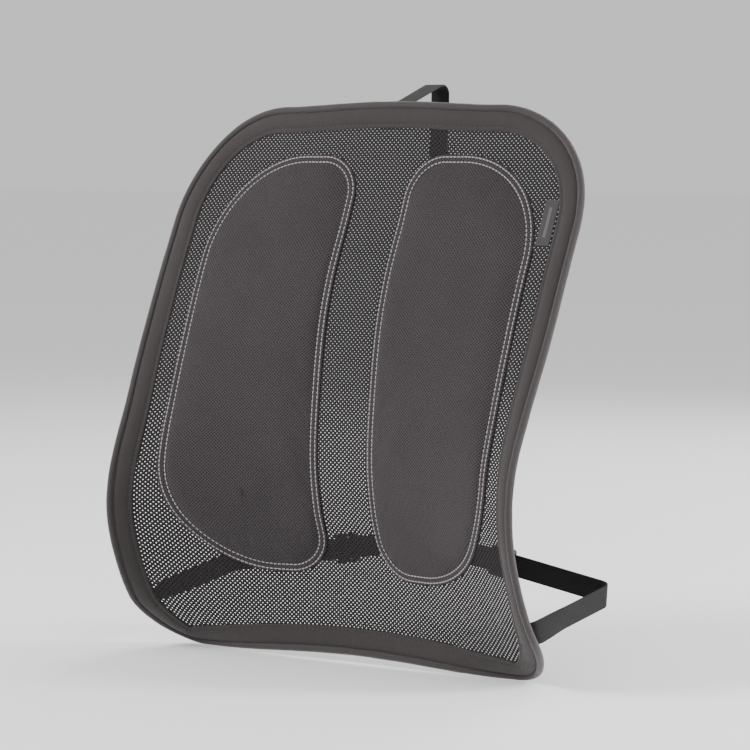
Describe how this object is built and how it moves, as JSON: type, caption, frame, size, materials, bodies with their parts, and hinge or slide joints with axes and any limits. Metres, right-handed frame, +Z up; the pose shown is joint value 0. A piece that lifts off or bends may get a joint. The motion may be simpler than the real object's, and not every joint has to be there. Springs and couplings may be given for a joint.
{
  "type": "lumbar support cushion",
  "caption": "Mesh lumbar support with a bowed wire frame, padded side panels and a strap harness with a buckle and sliders that ties it to a chair back.",
  "frame": {"origin": "middle of the cushion's bottom edge, on the symmetry plane", "axes": "+Z up, +Y back towards the chair, -Y towards the sitter, +X to the right as seen from the front"},
  "size_m": [0.4526, 0.2242, 0.5275],
  "materials": {
    "spring_steel": "drawn and oiled",
    "zinc_plate": "crimped, zinc plated",
    "piping_fabric": "plain weave tube",
    "band_fabric": "plain weave",
    "thread": "twisted thread",
    "mesh_fabric": "open warp-knit mesh",
    "pad_fabric": "fine spacer knit",
    "foam": "open-cell foam",
    "lining": "plain lining",
    "label_weave": "woven label",
    "webbing": "ribbed elastic webbing",
    "moulded_plastic": "moulded, light texture"
  },
  "bodies": {
    "cushion": {"frame_wire": "spring_steel", "frame_ferrule": "zinc_plate", "edge_piping": "piping_fabric", "border_band": "band_fabric", "border_facing": "band_fabric", "border_topstitch": "thread", "mesh_panel": "mesh_fabric", "pad_cover_right": "pad_fabric", "pad_cover_left": "pad_fabric", "pad_foam_right": "foam", "pad_foam_left": "foam", "pad_backing_right": "lining", "pad_backing_left": "lining", "pad_topstitch_right": "thread", "pad_topstitch_left": "thread", "side_label": "label_weave", "lower_strap_right": "webbing", "lower_strap_left": "webbing", "top_strap": "webbing", "buckle_strap": "webbing", "harness_ring": "moulded_plastic", "buckle_housing": "moulded_plastic"},
    "tongue": {"buckle_tongue": "moulded_plastic"},
    "arm_right": {"release_arm_right": "moulded_plastic"},
    "arm_left": {"release_arm_left": "moulded_plastic"},
    "slider_top": {"top_slider": "moulded_plastic"},
    "slider_right": {"lower_slider_right": "moulded_plastic"},
    "slider_left": {"lower_slider_left": "moulded_plastic"}
  },
  "joints": [
    {"name": "buckle_release", "type": "slide", "parent": "cushion", "child": "tongue", "axis": [0, -0.0499, -0.9988], "range_m": [0, 0.026], "deforming": ["buckle_strap", "release_arm_right", "release_arm_left"]},
    {"name": "arm_right_squeeze", "type": "hinge", "parent": "tongue", "child": "arm_right", "pos_m": [0.0082, 0.12209, 0.22864], "axis": [0, -0.9988, 0.0499], "range_deg": [0, 11]},
    {"name": "arm_left_squeeze", "type": "hinge", "parent": "tongue", "child": "arm_left", "pos_m": [-0.0082, 0.12209, 0.22864], "axis": [0, 0.9988, -0.0499], "range_deg": [0, 11]},
    {"name": "top_slider_slide", "type": "slide", "parent": "cushion", "child": "slider_top", "axis": [0, 0.0499, 0.9988], "range_m": [-0.05, 0.08]},
    {"name": "right_slider_slide", "type": "slide", "parent": "cushion", "child": "slider_right", "axis": [0.9852, -0.0792, -0.1523], "range_m": [-0.035, 0.05]},
    {"name": "left_slider_slide", "type": "slide", "parent": "cushion", "child": "slider_left", "axis": [-0.9852, -0.0792, -0.1523], "range_m": [-0.035, 0.05]}
  ]
}
